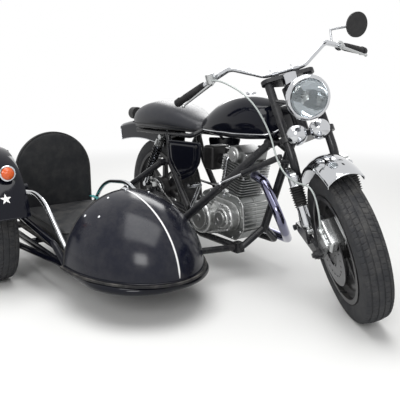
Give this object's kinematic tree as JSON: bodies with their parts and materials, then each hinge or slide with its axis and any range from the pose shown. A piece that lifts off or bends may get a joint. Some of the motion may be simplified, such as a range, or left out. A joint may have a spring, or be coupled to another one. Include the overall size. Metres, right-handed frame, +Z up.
{
  "type": "sidecar motorcycle",
  "caption": "Black roadster motorcycle with a leading-link fork and an open sports sidecar on its right, standing on three wheels.",
  "frame": {"origin": "on the ground under the middle of the whole outfit's box", "axes": "+X towards the front, +Y to the rider's left, +Z up"},
  "size_m": [2.1623, 1.7164, 1.2637],
  "materials": {
    "tyre_rubber": "tread blocks, dull black",
    "cast_black": "satin black paint on cast aluminium",
    "disc_steel": "ground steel",
    "frame_black": "gloss black enamel",
    "chrome": "polished chrome plate",
    "engine_alloy": "sand-cast, lightly weathered",
    "polished_alloy": "polished cover",
    "paint_black": "deep gloss black with a white line",
    "seat_vinyl": "soft black grained vinyl",
    "plastic_black": "moulded black",
    "rubber_black": "soft black rubber",
    "chair_board": "black grained vinyl over board",
    "amber_lamp": "amber lens in a chrome bezel",
    "chain_steel": "oiled steel"
  },
  "bodies": {
    "chassis": {"frame": "frame_black", "swingarm": "frame_black", "rear_shock_right": "frame_black", "rear_shock_left": "frame_black", "rear_brake_panel": "polished_alloy", "rear_guard": "paint_black", "tail_lamp": "plastic_black", "tank": "paint_black", "tank_cap": "chrome", "seat": "seat_vinyl", "crankcase": "engine_alloy", "barrel": "engine_alloy", "cylinder_head": "engine_alloy", "carburettor": "plastic_black", "exhaust_header": "chrome", "silencer": "chrome", "side_cover_right": "paint_black", "side_cover_left": "paint_black", "chain": "chain_steel", "footrests": "rubber_black", "kickstarter": "chrome", "nose": "paint_black", "chair_floor": "frame_black", "cushion": "chair_board", "backrest": "chair_board", "chair_frame": "frame_black", "grab_rail_right": "chrome", "grab_rail_left": "chrome", "side_guard": "paint_black", "side_lamp": "amber_lamp", "front_strut": "frame_black", "rear_strut": "frame_black", "front_link": "frame_black", "rear_link": "frame_black"},
    "steering": {"fork_tubes": "frame_black", "fork_yokes": "frame_black", "fork_link": "frame_black", "fork_shock_right": "chrome", "fork_shock_left": "chrome", "front_guard": "chrome", "front_caliper": "engine_alloy", "headlamp": "chrome", "horns": "chrome", "handlebar": "chrome", "grips": "rubber_black", "levers": "polished_alloy", "mirror_left": "chrome", "speedometer": "plastic_black", "brake_line": "disc_steel"},
    "front_wheel": {"front_tyre": "tyre_rubber", "front_wheel": "cast_black", "front_disc": "disc_steel"},
    "rear_wheel": {"rear_tyre": "tyre_rubber", "rear_wheel": "cast_black", "rear_sprocket": "chain_steel"},
    "side_wheel": {"side_tyre": "tyre_rubber", "side_wheel": "cast_black"},
    "damper_body": {"damper_body": "polished_alloy"},
    "damper_rod": {"damper_rod": "chrome"}
  },
  "joints": [
    {"name": "steering", "type": "hinge", "parent": "chassis", "child": "steering", "pos_m": [0.44192, 0.31575, 0.85], "axis": [-0.4617, 0, 0.887], "range_deg": [0, 68]},
    {"name": "front_wheel", "type": "hinge", "parent": "steering", "child": "front_wheel", "pos_m": [0.79138, 0.2751, 0.30922], "axis": [0.496, 0.829, 0.2582], "continuous": true},
    {"name": "rear_wheel", "type": "hinge", "parent": "chassis", "child": "rear_wheel", "pos_m": [-0.6376, 0.31575, 0.32], "axis": [0, 1, 0], "continuous": true},
    {"name": "side_wheel", "type": "hinge", "parent": "chassis", "child": "side_wheel", "pos_m": [-0.5536, -0.77225, 0.278], "axis": [0, 1, 0], "continuous": true},
    {"name": "damper_turn", "type": "hinge", "parent": "steering", "child": "damper_body", "pos_m": [0.46741, 0.20308, 0.64383], "axis": [-0.4617, 0, 0.887], "range_deg": [-74.91, 0]},
    {"name": "damper_slide", "type": "slide", "parent": "damper_body", "child": "damper_rod", "axis": [-0.8364, -0.333, -0.4354], "range_m": [0, 0.13351]}
  ],
  "couplings": [
    {"joint": "damper_turn", "follows": "steering", "ratio": -1.1016},
    {"joint": "damper_slide", "follows": "steering", "m_per_rad": 0.11249}
  ]
}
